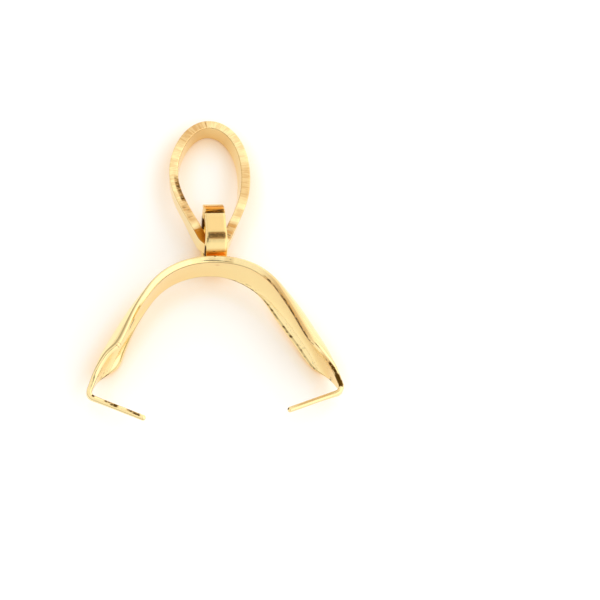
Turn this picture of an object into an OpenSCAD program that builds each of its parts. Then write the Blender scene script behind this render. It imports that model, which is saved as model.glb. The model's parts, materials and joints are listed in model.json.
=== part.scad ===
// Pinch bail for a pendant: a leaf-shaped strip bent to an arch with two prongs, a ring soldered on
// its top, and a teardrop loop that hangs in the ring and takes the chain.
// X runs across the two legs, Y from the prongs to the loop, Z up from the table it lies on.
// Millimetres. Shares in the tables are of the sizes that each table names.

/* [Chain loop] */
// Width of the teardrop over its outside
loop_w = 4.24; // [3.6:0.02:6]
// From the ring's axis to the outside of the teardrop's round end
loop_reach = 7.32; // [6:0.02:10]
// From the ring's axis to the teardrop's widest place
loop_wide_at = 3.85; // [3:0.05:5]
// Width of the teardrop's strip
loop_strip_w = 0.95; // [0.7:0.05:1.2]
// Thickness of the teardrop's strip
loop_t = 0.45; // [0.3:0.01:0.5]
// Outside radius of the teardrop's nose, which sits in the ring
loop_nose_r = 1; // [0.8:0.05:1.1]
// Lean of each leg of the teardrop where it leaves the nose, in degrees
loop_leg_lean = 22; // [16:1:26]
// How far the teardrop hangs askew in the ring, in degrees to the right
loop_sway = 1.5; // [0:0.5:3]
// How far the teardrop's right side lies lower than its left in the loose ring, in degrees
loop_roll = 2; // [0:1:14]

/* [Ring] */
// Radius of the ring's bore, in which the teardrop swings
ring_bore_r = 1.23; // [1.2:0.02:1.6]
// Thickness of the ring's band
ring_t = 0.4; // [0.25:0.05:0.6]
// Width of the ring's band
ring_w = 1.1; // [0.8:0.05:1.6]
// Width of the seam where the band's ends meet
seam_w = 0.09; // [0.05:0.01:0.15]
// Depth of the seam
seam_depth = 0.08; // [0.04:0.01:0.15]
// Where the seam lies round the ring, in degrees up from the loop's side
seam_angle = 61; // [40:1:120]
// Width of the solder along the strip, measured across the strip
solder_w = 1.1; // [0.6:0.1:1.6]

/* [Arch] */
// Thickness of the strip
sheet_t = 0.4; // [0.3:0.02:0.5]
// Width of the strip at its widest place, near the ends of the legs
strip_w = 2.75; // [2:0.05:3]
// How far the strip's middle bulges out at the crown
dish_crown = 0.08; // [0.05:0.01:0.3]
// How far the strip's middle bulges out at the left leg's widest place
dish_left = 0.68; // [0.3:0.02:1]
// How far the strip's middle bulges out at the right leg's widest place
dish_right = 0.68; // [0.3:0.02:1]
// How evenly the strip is dished: 1 is one round curve, less is a flatter middle with curled rims
dish_round = 0.45; // [0.3:0.05:1]
// Lean of the strip at the crown, in degrees, which turns its upper edge out
lean_crown = 4.5; // [0:0.5:8]
// Most lean of the left leg, in degrees, which turns its upper edge out
lean_left = 6.5; // [0:0.5:12]
// Most lean of the right leg, in degrees, which turns its upper edge out
lean_right = 8.5; // [0:0.5:12]
// How much further along the left leg the strip's lower edge has its shape than its upper edge
lower_edge_lag_left = 0.35; // [0:0.05:0.8]
// How much further along the right leg the strip's lower edge has its shape than its upper edge
lower_edge_lag_right = 0.65; // [0:0.05:1.2]
// Radius of the crown, on the outside of the strip
crown_r = 4.8; // [4.5:0.05:6]
// Turn of the crown on the left side, in degrees
crown_turn_left = 48.5; // [45:0.5:60]
// Turn of the crown on the right side, in degrees
crown_turn_right = 52; // [45:0.5:60]
// Radius of each leg's slight curve, on the outside of the strip
leg_r = 20.5; // [14:0.5:40]
// Length of the left leg, from the crown to the bend
leg_left = 6.65; // [5:0.05:8]
// Length of the right leg, from the crown to the bend
leg_right = 6.2; // [5:0.05:8]
// How far the crown's middle lies to the left of the ring's
ring_offset = 0.28; // [0:0.02:0.6]

/* [Prongs] */
// Radius of the bend between a leg and its prong, on the outside
bend_r = 0.52; // [0.4:0.02:0.9]
// Slope of the left prong, in degrees below the line across the legs
prong_slope_left = 24.5; // [15:0.5:35]
// Slope of the right prong, in degrees below the line across the legs
prong_slope_right = 19; // [15:0.5:35]
// Length of the left prong, from the bend to the tip
prong_left = 3; // [2:0.05:3.5]
// Length of the right prong, from the bend to the tip
prong_right = 2.9; // [2:0.05:3.5]
// Width of a prong
prong_w = 0.28; // [0.2:0.02:0.6]
// Thickness of a prong
prong_t = 0.28; // [0.2:0.02:0.44]

/* [Hidden] */
$fn = 96;

// Gap between the teardrop's nose and the ring's bore
loop_clearance = 0.11;
// How far the ring and the solder sink into the strip
solder_bite = 0.05;
// Share of its width and thickness that a prong still has at its very end
tip_end = 0.3;
// Fineness of the curves: steps in each stretch of the spine, across the strip and round the loop
CROWN_STEPS = 14;
LEG_STEPS = 22;
BEND_STEPS = 7;
PRONG_STEPS = 5;
TIP_STEPS = 4;
ACROSS_STEPS = 8;
LOOP_CROWN_STEPS = 40;
LOOP_LEG_STEPS = 16;
LOOP_NOSE_STEPS = 20;

// The strip's section along each side, from the crown's middle (0) to the bend (1) and beyond.
// along: share of the way to the bend. width: share between prong_w and strip_w.
// crown: share of dish_crown and of lean_crown. dish_l, dish_r: share of that leg's dish.
// lean_l, lean_r: share of that leg's lean. gauge: share between prong_t and sheet_t.
SECTION_COLUMNS = ["along", "width", "crown", "dish_l", "dish_r", "lean_l", "lean_r", "gauge"];
SECTIONS = [
    [0.00, 0.640, 1.0, 0.00, 0.00, 0.00, 0.00, 1.00],
    [0.25, 0.740, 0.8, 0.00, 0.16, -0.30, 0.70, 1.00],
    [0.50, 0.880, 0.3, 0.44, 0.81, 0.00, 0.70, 1.00],
    [0.68, 0.970, 0.0, 0.90, 1.00, 0.25, 0.10, 1.00],
    [0.76, 1.000, 0.0, 1.00, 0.97, 0.65, 0.00, 0.85],
    [0.83, 0.800, 0.0, 0.55, 0.67, 1.00, 0.20, 0.55],
    [0.92, 0.360, 0.0, 0.09, 0.12, 0.30, 0.00, 0.35],
    [1.00, 0.080, 0.0, 0.00, 0.00, 0.00, 0.00, 0.10],
    [1.08, 0.000, 0.0, 0.00, 0.00, 0.00, 0.00, 0.00],
    [1.20, 0.000, 0.0, 0.00, 0.00, 0.00, 0.00, 0.00],
];
// Handles of the curve from the teardrop's widest place down to its nose, as shares of that drop
LOOP_HANDLES = [["from_wide", 0.36], ["from_nose", 0.50]];

ring_r = ring_bore_r + ring_t;
nose_depth = sqrt(pow(ring_bore_r - loop_clearance, 2) - pow(loop_strip_w / 2, 2));
apex = [-ring_offset, -ring_r + solder_bite - sheet_t / 2];

function column(table, name) = search([name], table)[0];

// Smooth value of one column of SECTIONS at a share of the way along a side
function slope_at(i, c) =
    i == 0 ? 0
    : i == len(SECTIONS) - 1 ? 0
    : (SECTIONS[i + 1][c] - SECTIONS[i - 1][c]) / (SECTIONS[i + 1][0] - SECTIONS[i - 1][0]);
function row_before(u, i = 0) =
    i < len(SECTIONS) - 2 && SECTIONS[i + 1][0] <= u ? row_before(u, i + 1) : i;
function blend(a, b, da, db, t) =
    a * (2 * pow(t, 3) - 3 * pow(t, 2) + 1) + da * (pow(t, 3) - 2 * pow(t, 2) + t)
    + b * (3 * pow(t, 2) - 2 * pow(t, 3)) + db * (pow(t, 3) - pow(t, 2));
function section_at(u, name) =
    let (c = column(SECTION_COLUMNS, name), i = row_before(u), a = SECTIONS[i], b = SECTIONS[i + 1],
         gap = b[0] - a[0], t = min(1, (u - a[0]) / gap))
    blend(a[c], b[c], slope_at(i, c) * gap, slope_at(i + 1, c) * gap, t);

// The spine is the middle line of the strip. A place on it is [x, y, heading], and a heading is
// degrees below the outward direction.
function along_arc(place, r, turn) = [
    place[0] + r * (sin(place[2] + turn) - sin(place[2])),
    place[1] - r * (cos(place[2]) - cos(place[2] + turn)),
    place[2] + turn,
];
function along_line(place, run) = [
    place[0] + run * cos(place[2]), place[1] - run * sin(place[2]), place[2],
];
function arc_len(r, turn) = r * turn * PI / 180;

crown_mid_r = crown_r - sheet_t / 2;
leg_mid_r = leg_r - sheet_t / 2;
bend_mid_r = bend_r - prong_t / 2;

// One side of the spine: a list of [place, share of the way to the bend, lag of the lower edge as
// such a share, share of the tip left]
function side_stations(crown_turn, leg, prong_slope, prong, edge_lag) =
    let (crown = arc_len(crown_mid_r, crown_turn),
         leg_turn = leg / leg_mid_r * 180 / PI,
         reach = crown + leg,
         crown_end = along_arc([0, 0, 0], crown_mid_r, crown_turn),
         leg_end = along_arc(crown_end, leg_mid_r, leg_turn),
         bend_turn = 180 - prong_slope - leg_end[2],
         bend_end = along_arc(leg_end, bend_mid_r, bend_turn),
         bend = arc_len(bend_mid_r, bend_turn),
         tip = prong_w / 2,
         lag = edge_lag / reach)
    concat(
        [for (i = [0:CROWN_STEPS - 1]) let (k = i / CROWN_STEPS)
            [along_arc([0, 0, 0], crown_mid_r, k * crown_turn), k * crown / reach, k * lag, 1]],
        [for (i = [0:LEG_STEPS - 1]) let (k = i / LEG_STEPS)
            [along_arc(crown_end, leg_mid_r, k * leg_turn), (crown + k * leg) / reach, lag, 1]],
        [for (i = [0:BEND_STEPS - 1]) let (k = i / BEND_STEPS)
            [along_arc(leg_end, bend_mid_r, k * bend_turn), 1 + k * bend / reach, lag, 1]],
        [for (i = [0:PRONG_STEPS - 1]) let (k = i / PRONG_STEPS)
            [along_line(bend_end, k * (prong - tip)), 1 + (bend + k * (prong - tip)) / reach, lag, 1]],
        [for (i = [0:TIP_STEPS]) let (k = sin(90 * i / TIP_STEPS))
            [along_line(bend_end, prong - tip + k * tip), 1 + (bend + prong) / reach, lag,
             max(tip_end, sqrt(1 - k * k))]]);

// Corners of the strip's section at one station, up the outside and down the inside
function half_width(u) = (prong_w + (strip_w - prong_w) * section_at(u, "width")) / 2;
function section_points(side, dish, lean, station) =
    let (place = station[0], u = station[1], taper = station[3],
         upper = half_width(u) * taper,
         lower = half_width(u - station[2]) * taper,
         crown = section_at(u, "crown"),
         bulge = dish_crown * crown + dish * section_at(u, side < 0 ? "dish_l" : "dish_r"),
         turn = lean_crown * crown + lean * section_at(u, side < 0 ? "lean_l" : "lean_r"),
         gauge = (prong_t + (sheet_t - prong_t) * section_at(u, "gauge")) * taper,
         middle = [apex[0] + side * place[0], apex[1] + place[1], 0],
         level_out = [side * sin(place[2]), cos(place[2]), 0],
         out = level_out * cos(turn) - [0, 0, sin(turn)],
         up = level_out * sin(turn) + [0, 0, cos(turn)],
         face = function (v, outside)
             let (half = v > 0 ? upper : lower,
                  fall = bulge * (dish_round * pow(v, 2) + (1 - dish_round) * pow(v, 6)),
                  slope = bulge * (2 * dish_round * v + 6 * (1 - dish_round) * pow(v, 5)))
             middle - out * fall + up * half * v
             + outside * gauge / 2 * (out * half + up * slope) / norm([half, slope]))
    concat([for (i = [0:ACROSS_STEPS]) face(sin(180 * i / ACROSS_STEPS - 90), 1)],
           [for (i = [0:ACROSS_STEPS]) face(sin(90 - 180 * i / ACROSS_STEPS), -1)]);

LEFT = side_stations(crown_turn_left, leg_left, prong_slope_left, prong_left, lower_edge_lag_left);
RIGHT = side_stations(crown_turn_right, leg_right, prong_slope_right, prong_right, lower_edge_lag_right);
STRIP_RINGS = concat(
    [for (i = [len(LEFT) - 1:-1:1]) section_points(-1, dish_left, lean_left, LEFT[i])],
    [for (station = RIGHT) section_points(1, dish_right, lean_right, station)]);
STRIP_POINTS = [for (ring = STRIP_RINGS) each ring];

// How far the bail tips about the ring's axis until it rests on the ring and both legs
function tip_to_table(p) = asin(ring_r / norm([p[1], p[2]])) - atan2(-p[2], abs(p[1]));
clasp_tilt = min([for (p = STRIP_POINTS) if (p[1] < -2 * ring_r && p[2] < 0) tip_to_table(p)]);

// Middle line of the teardrop, round from its widest place on the right over its round end
function bezier(a, b, c, d, t) =
    a * pow(1 - t, 3) + 3 * b * t * pow(1 - t, 2) + 3 * c * t * t * (1 - t) + d * pow(t, 3);
function loop_handle(name) = LOOP_HANDLES[search([name], LOOP_HANDLES)[0]][1];
function loop_leg(t) =
    let (half = (loop_w - loop_t) / 2, nose_r = loop_nose_r - loop_t / 2,
         foot = [nose_r * cos(loop_leg_lean), loop_nose_r - nose_depth - nose_r * sin(loop_leg_lean)],
         drop = loop_wide_at - foot[1])
    bezier([half, loop_wide_at],
           [half, loop_wide_at - drop * loop_handle("from_wide")],
           foot + drop * loop_handle("from_nose") * [sin(loop_leg_lean), cos(loop_leg_lean)],
           foot, t);
LOOP_LINE = concat(
    [for (i = [0:LOOP_CROWN_STEPS - 1]) let (a = 180 * i / LOOP_CROWN_STEPS)
        [(loop_w - loop_t) / 2 * cos(a),
         loop_wide_at + (loop_reach - loop_wide_at - loop_t / 2) * sin(a)]],
    [for (i = [0:LOOP_LEG_STEPS - 1]) let (p = loop_leg(i / LOOP_LEG_STEPS)) [-p[0], p[1]]],
    [for (i = [0:LOOP_NOSE_STEPS - 1])
        let (a = 180 + loop_leg_lean + (180 - 2 * loop_leg_lean) * i / LOOP_NOSE_STEPS)
        [(loop_nose_r - loop_t / 2) * cos(a),
         loop_nose_r - nose_depth + (loop_nose_r - loop_t / 2) * sin(a)]],
    [for (i = [0:LOOP_LEG_STEPS - 1]) loop_leg(1 - i / LOOP_LEG_STEPS)]);

function loop_outline(out) = [for (i = [0:len(LOOP_LINE) - 1])
    let (count = len(LOOP_LINE), run = LOOP_LINE[(i + 1) % count] - LOOP_LINE[(i + count - 1) % count])
    LOOP_LINE[i] + out * loop_t / 2 * [run[1], -run[0]] / norm(run)];

// The teardrop as it hangs in the ring, before it tips: its outer corners
function hung(x, y, z) =
    let (swayed = [x * cos(loop_sway) + y * sin(loop_sway), y * cos(loop_sway) - x * sin(loop_sway)])
    [swayed[0] * cos(loop_roll) + z * sin(loop_roll), swayed[1],
     z * cos(loop_roll) - swayed[0] * sin(loop_roll)];
LOOP_CORNERS = [for (p = loop_outline(1), z = [-1, 1]) hung(p[0], p[1], z * loop_strip_w / 2)];
loop_tilt = min([for (p = LOOP_CORNERS) if (p[1] > 2 * ring_r && p[2] < 0) tip_to_table(p)]);

// The ring's axis, so that the origin is under the middle of the whole bail
strip_x = [for (p = STRIP_POINTS) p[0]];
back_y = min([for (p = STRIP_POINTS) p[1] * cos(clasp_tilt) - p[2] * sin(clasp_tilt)]);
front_y = max([for (p = LOOP_CORNERS) p[1] * cos(loop_tilt) + p[2] * sin(loop_tilt)]);
ring_at = [-(min(strip_x) + max(strip_x)) / 2, -(back_y + front_y) / 2, ring_r];

// The strip as one skin over its sections, closed at both prong tips
module strip() {
    count = 2 * (ACROSS_STEPS + 1);
    last = (len(STRIP_RINGS) - 1) * count;
    sides = [for (r = [0:len(STRIP_RINGS) - 2], i = [0:count - 1]) let (a = r * count, j = (i + 1) % count)
        [a + i, a + count + i, a + count + j, a + j]];
    tips = [for (i = [0:ACROSS_STEPS - 1]) let (across = count - 1 - i) each [
        [i, i + 1, across - 1, across],
        [last + across, last + across - 1, last + i + 1, last + i]]];
    polyhedron(points = STRIP_POINTS, faces = concat(sides, tips));
}

// The closed band with its seam
module ring() {
    difference() {
        rotate([0, 90, 0]) cylinder(h = ring_w, r = ring_r, center = true);
        rotate([0, 90, 0]) cylinder(h = 2 * ring_w, r = ring_bore_r, center = true);
        rotate([seam_angle, 0, 0])
            translate([-ring_w, ring_r - seam_depth, -seam_w / 2])
                cube([2 * ring_w, 2 * seam_depth, seam_w]);
    }
}

// Solder that fills the wedge between the ring and the strip
module solder() {
    top = -sqrt(pow(ring_r, 2) - pow(solder_w / 2, 2));
    depth = top + ring_r + 2 * solder_bite;
    translate([-ring_w / 2, top - depth, -solder_w / 2]) cube([ring_w, depth, solder_w]);
}

module pinch_clasp() {
    color("gold") translate(ring_at) rotate([clasp_tilt, 0, 0]) {
        strip();
        ring();
        solder();
    }
}

module chain_loop() {
    color("goldenrod") translate(ring_at) rotate([-loop_tilt, 0, 0])
        rotate([0, loop_roll, 0]) rotate([0, 0, -loop_sway])
        linear_extrude(height = loop_strip_w, center = true)
            difference() {
                polygon(loop_outline(1));
                polygon(loop_outline(-1));
            }
}

pinch_clasp();
chain_loop();
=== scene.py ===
"""Blender scene of a pinch bail lying on a pale table: arch strip with prongs, soldered ring, teardrop loop.

Lengths are in millimetres and angles in degrees, as in the part's own source, unless a name or a docstring
says otherwise. A mesh becomes metres when it is made.
"""

from __future__ import annotations

import json
import logging
import math
from dataclasses import dataclass, field
from enum import Enum
from functools import reduce
from typing import Any, Sequence

import bpy
import numpy as np
from mathutils import Matrix, Vector, noise

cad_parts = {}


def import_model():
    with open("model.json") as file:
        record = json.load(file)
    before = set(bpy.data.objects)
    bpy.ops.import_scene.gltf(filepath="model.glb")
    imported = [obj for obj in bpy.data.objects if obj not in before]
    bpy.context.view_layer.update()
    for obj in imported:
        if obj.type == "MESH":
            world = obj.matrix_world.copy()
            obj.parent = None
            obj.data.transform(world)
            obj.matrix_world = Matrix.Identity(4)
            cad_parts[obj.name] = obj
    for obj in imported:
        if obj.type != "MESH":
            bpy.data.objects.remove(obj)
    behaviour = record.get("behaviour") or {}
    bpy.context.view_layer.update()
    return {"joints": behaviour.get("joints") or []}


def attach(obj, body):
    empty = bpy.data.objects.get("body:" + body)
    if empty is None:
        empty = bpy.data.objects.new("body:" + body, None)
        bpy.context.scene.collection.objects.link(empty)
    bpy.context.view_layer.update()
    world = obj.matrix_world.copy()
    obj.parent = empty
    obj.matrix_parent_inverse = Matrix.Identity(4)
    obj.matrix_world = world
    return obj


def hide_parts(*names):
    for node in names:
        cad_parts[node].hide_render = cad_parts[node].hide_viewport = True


log = logging.getLogger("bail")

MM = 0.001
PLACE = "place"
EDGE = "edge"
DARK = "dark"
TAN = "tan"
WHITE = (1.0, 1.0, 1.0, 1.0)
FLOAT = "NodeSocketFloat"
VECTOR = "NodeSocketVector"


class Leg(Enum):
    """The two legs of the arch, with the direction of each along X."""

    LEFT = -1
    RIGHT = 1


class Body(Enum):
    """The moving bodies of the frame."""

    CLASP = "clasp"
    LOOP = "loop"


class Face(Enum):
    """The faces of a flat strip: its two wide faces, its two edges and the rim inside its lower edge."""

    OUTSIDE = "outside"
    INSIDE = "inside"
    UPPER_EDGE = "upper edge"
    LOWER_EDGE = "lower edge"
    LOWER_RIM = "lower rim"

    def cover(self, depth: np.ndarray, edge: np.ndarray) -> np.ndarray:
        """How far each point lies on this face.

        Args:
            depth: The points' depths in the strip, above 0 on its outside.
            edge: Their edge values, 1 on the upper edge face and -1 on the lower.

        Returns:
            A cover from 0 to 1 for each point.
        """
        wide = 1.0 - smooth(0.2, 0.7, np.abs(edge))
        return {
            Face.OUTSIDE: wide * (depth > 0),
            Face.INSIDE: wide * (depth < 0),
            Face.UPPER_EDGE: smooth(0.25, 0.7, edge),
            Face.LOWER_EDGE: smooth(0.25, 0.7, -edge),
            Face.LOWER_RIM: smooth(-0.1, 0.1, -edge) * (1.0 - smooth(0.6, 0.95, -edge)) * (depth < 0),
        }[self]


def smooth(low: float, high: float, value: Any) -> Any:
    """Rises smoothly from 0 at low to 1 at high.

    Args:
        low: The value at which the result leaves 0.
        high: The value at which the result reaches 1.
        value: A number or an array.

    Returns:
        A number or an array of the same form.
    """
    share = np.clip((value - low) / (high - low), 0.0, 1.0)
    return share * share * (3.0 - 2.0 * share)


def ripple(x: float, y: float) -> float:
    """Smooth repeatable noise, from about -1 to 1, on one level plane off the grid's zeros."""
    return noise.noise(Vector((x, y, 0.37)))


class Graph:
    """Adds linked nodes to one tree, of geometry or of a shader."""

    def __init__(self, tree: bpy.types.NodeTree) -> None:
        """Starts on a tree and empties it."""
        self.tree = tree
        tree.nodes.clear()

    def add(self, kind: str, inputs: dict[Any, Any] | None = None, **settings: Any) -> bpy.types.Node:
        """Adds one node.

        Args:
            kind: The node's type name.
            inputs: What each input socket gets, by name or number: a socket to link, or a value.
            **settings: Properties of the node itself.

        Returns:
            The new node.
        """
        node = self.tree.nodes.new(kind)
        for name, value in settings.items():
            setattr(node, name, value)
        for name, value in (inputs or {}).items():
            self.feed(node.inputs[name], value)
        return node

    def feed(self, socket: bpy.types.NodeSocket, value: Any) -> None:
        """Gives an input socket its source.

        Args:
            socket: The input socket.
            value: An output socket to link, or a value.
        """
        if isinstance(value, bpy.types.NodeSocket):
            self.tree.links.new(value, socket)
        else:
            socket.default_value = value

    def group(self, tree: bpy.types.NodeTree, inputs: dict[str, Any]) -> bpy.types.bpy_prop_collection:
        """Places a shared shader group with its own values and returns its outputs."""
        return self.add("ShaderNodeGroup", inputs, node_tree=tree).outputs

    def math(self, operation: str, first: Any, second: Any = 0.0, third: Any = 0.0) -> bpy.types.NodeSocket:
        """Adds a Math node and returns its result."""
        return self.add("ShaderNodeMath", {0: first, 1: second, 2: third}, operation=operation).outputs[0]

    def product(self, first: Any, *others: Any) -> bpy.types.NodeSocket:
        """Multiplies all its numbers and returns the result."""
        return reduce(lambda made, factor: self.math("MULTIPLY", made, factor), others, first)

    def vector(self, x: Any = 0.0, y: Any = 0.0, z: Any = 0.0) -> bpy.types.NodeSocket:
        """Joins three numbers to a vector."""
        return self.add("ShaderNodeCombineXYZ", {0: x, 1: y, 2: z}).outputs[0]

    def parts(self, vector: bpy.types.NodeSocket) -> bpy.types.bpy_prop_collection:
        """Splits a vector into its three numbers."""
        return self.add("ShaderNodeSeparateXYZ", {0: vector}).outputs

    def rise(self, value: Any, low: Any, high: Any, start: Any = 0.0, end: Any = 1.0) -> bpy.types.NodeSocket:
        """Maps low..high smoothly to start..end."""
        inputs = {"Value": value, "From Min": low, "From Max": high, "To Min": start, "To Max": end}
        return self.add("ShaderNodeMapRange", inputs, interpolation_type="SMOOTHSTEP").outputs["Result"]

    def noise(self, where: Any, scale: Any, detail: float = 2.0, roughness: float = 0.5) -> bpy.types.NodeSocket:
        """Adds a 3D noise and returns its value, about 0 to 1."""
        inputs = {"Vector": where, "Scale": scale, "Detail": detail, "Roughness": roughness}
        return self.add("ShaderNodeTexNoise", inputs, noise_dimensions="3D").outputs[0]

    def stretched(self, where: Any, x: Any, y: Any, z: Any) -> bpy.types.NodeSocket:
        """Scales a vector by its own factor along each axis."""
        inputs = {0: where, 1: self.vector(x, y, z)}
        return self.add("ShaderNodeVectorMath", inputs, operation="MULTIPLY").outputs[0]

    def mix(self, share: Any, first: Any, second: Any, blend: str = "MIX") -> bpy.types.NodeSocket:
        """Mixes two colours.

        Args:
            share: The share of the second colour, from 0 to 1.
            first: The first colour.
            second: The second colour.
            blend: How the second colour acts on the first.

        Returns:
            The mixed colour.
        """
        node = self.add("ShaderNodeMix", data_type="RGBA", blend_type=blend)
        values = {"Factor_Float": share, "A_Color": first, "B_Color": second}
        for socket in node.inputs:
            if socket.identifier in values:
                self.feed(socket, values[socket.identifier])
        return next(s for s in node.outputs if s.identifier == "Result_Color")

    def near(self, value: Any, middle: float, half: float) -> bpy.types.NodeSocket:
        """1 within half a width of the middle and 0 outside, with a soft border."""
        far = self.math("ABSOLUTE", self.math("SUBTRACT", value, middle))
        return self.rise(far, half * 0.8, half * 1.2, 1.0, 0.0)

    def attribute(self, name: str, output: str) -> bpy.types.NodeSocket:
        """Reads a mesh attribute in a shader."""
        return self.add("ShaderNodeAttribute", attribute_name=name).outputs[output]


def new_group(
    name: str, kind: str, inputs: dict[str, tuple[str, Any]], outputs: dict[str, str]
) -> tuple[Graph, Any, Any]:
    """Makes a node group with a named interface.

    Args:
        name: The group's name.
        kind: The tree's type name.
        inputs: For each input, its socket type and its default value, or None.
        outputs: For each output, its socket type.

    Returns:
        The graph, the Group Input's outputs and the Group Output's inputs.
    """
    tree = bpy.data.node_groups.new(name, kind)
    graph = Graph(tree)
    for label, (socket_type, default) in inputs.items():
        socket = tree.interface.new_socket(label, in_out="INPUT", socket_type=socket_type)
        if default is not None:
            socket.default_value = default
    for label, socket_type in outputs.items():
        tree.interface.new_socket(label, in_out="OUTPUT", socket_type=socket_type)
    return graph, graph.add("NodeGroupInput").outputs, graph.add("NodeGroupOutput").inputs


@dataclass(frozen=True)
class Patch:
    """A mark on one face of a strip.

    Its middle is given along the strip and across the face (through the thickness on an edge), and its
    length and breadth are half sizes. Dark paints stains and also painted shade and dark reflections, and tan
    paints thin or heated plate and also painted reflection tones.
    """

    face: Face
    along: float
    offset: float
    length: float
    breadth: float
    dark: float = 0.0
    tan: float = 0.0

    def cover(self, place: np.ndarray, edge: np.ndarray) -> np.ndarray:
        """How strongly the patch covers each point.

        Args:
            place: The points' places on the strip in millimetres: along, across and depth.
            edge: The points' edge values.

        Returns:
            A cover from 0 to 1 for each point.
        """
        on_edge = self.face in (Face.UPPER_EDGE, Face.LOWER_EDGE)
        aside = (place[:, 2] if on_edge else place[:, 1]) - self.offset
        ahead = smooth(0.5, 1.15, np.abs(place[:, 0] - self.along) / self.length)
        beside = smooth(0.4, 1.15, np.abs(aside) / self.breadth)
        return self.face.cover(place[:, 2], edge) * (1.0 - ahead) * (1.0 - beside)


def read(mesh: bpy.types.Mesh, name: str) -> np.ndarray:
    """Reads one attribute of the mesh's points.

    Args:
        mesh: The mesh.
        name: The name of a number or vector attribute.

    Returns:
        A number or a row of three for each point.
    """
    source = mesh.attributes[name]
    slot, width = ("value", 1) if source.data_type == "FLOAT" else ("vector", 3)
    values = np.zeros(len(mesh.vertices) * width, np.float32)
    source.data.foreach_get(slot, values)
    return values if width == 1 else values.reshape(-1, width)


def mesh_points(mesh: bpy.types.Mesh) -> np.ndarray:
    """The mesh's points in millimetres."""
    return read(mesh, "position").astype(float) / MM


def paint(mesh: bpy.types.Mesh, patches: Sequence[Patch]) -> None:
    """Writes the patches' dark and tan covers to the mesh.

    Args:
        mesh: A mesh that has the place and edge attributes.
        patches: The marks to paint.
    """
    place, edge = read(mesh, PLACE), read(mesh, EDGE)
    dark, tan = np.zeros(len(edge)), np.zeros(len(edge))
    for patch in patches:
        cover = patch.cover(place, edge)
        dark, tan = np.maximum(dark, cover * patch.dark), np.maximum(tan, cover * patch.tan)
    for name, values in ((DARK, dark), (TAN, tan)):
        mesh.attributes.new(name, "FLOAT", "POINT").data.foreach_set("value", values.astype(np.float32))


def grid_mesh(name: str, rings: np.ndarray, attributes: dict[str, np.ndarray]) -> bpy.types.Mesh:
    """Makes a closed skin over rings of points, with a fan at each end.

    Args:
        name: The mesh's name.
        rings: Points in metres, in the order ring, point, coordinate.
        attributes: Arrays of numbers or vectors for the same points.

    Returns:
        The mesh, shaded smooth, with its faces pointing outwards.
    """
    ring_count, point_count = rings.shape[:2]
    index = np.arange(ring_count * point_count).reshape(ring_count, point_count)
    ahead = np.roll(index, -1, axis=1)
    quads = np.stack([index[:-1], ahead[:-1], ahead[1:], index[1:]], axis=-1).reshape(-1, 4)
    points = np.concatenate([rings.reshape(-1, 3), rings[[0, -1]].mean(axis=1)])
    first, last = len(points) - 2, len(points) - 1
    fans = [(first, b, a) for a, b in zip(index[0], ahead[0])]
    fans += [(last, a, b) for a, b in zip(index[-1], ahead[-1])]
    mesh = bpy.data.meshes.new(name)
    mesh.from_pydata(points.tolist(), [], quads.tolist() + [[int(i) for i in fan] for fan in fans])
    for label, values in attributes.items():
        ends = values[[0, -1]].mean(axis=1)
        flat = np.concatenate([values.reshape(-1, *values.shape[2:]), ends]).astype(np.float32)
        kind, slot = ("FLOAT", "value") if values.ndim == 2 else ("FLOAT_VECTOR", "vector")
        mesh.attributes.new(label, kind, "POINT").data.foreach_set(slot, flat.ravel())
    mesh.shade_smooth()
    mesh.update()
    return mesh


def add_object(name: str, mesh: bpy.types.Mesh, material: bpy.types.Material) -> bpy.types.Object:
    """Puts a mesh with its material in the scene and reports it.

    Args:
        name: The object's name.
        mesh: Its mesh, with its place in its points.
        material: Its one material.

    Returns:
        The new object.
    """
    mesh.materials.clear()
    mesh.materials.append(material)
    made = bpy.data.objects.new(name, mesh)
    bpy.context.scene.collection.objects.link(made)
    log.info("%s: %d faces", name, len(mesh.polygons))
    return made


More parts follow.
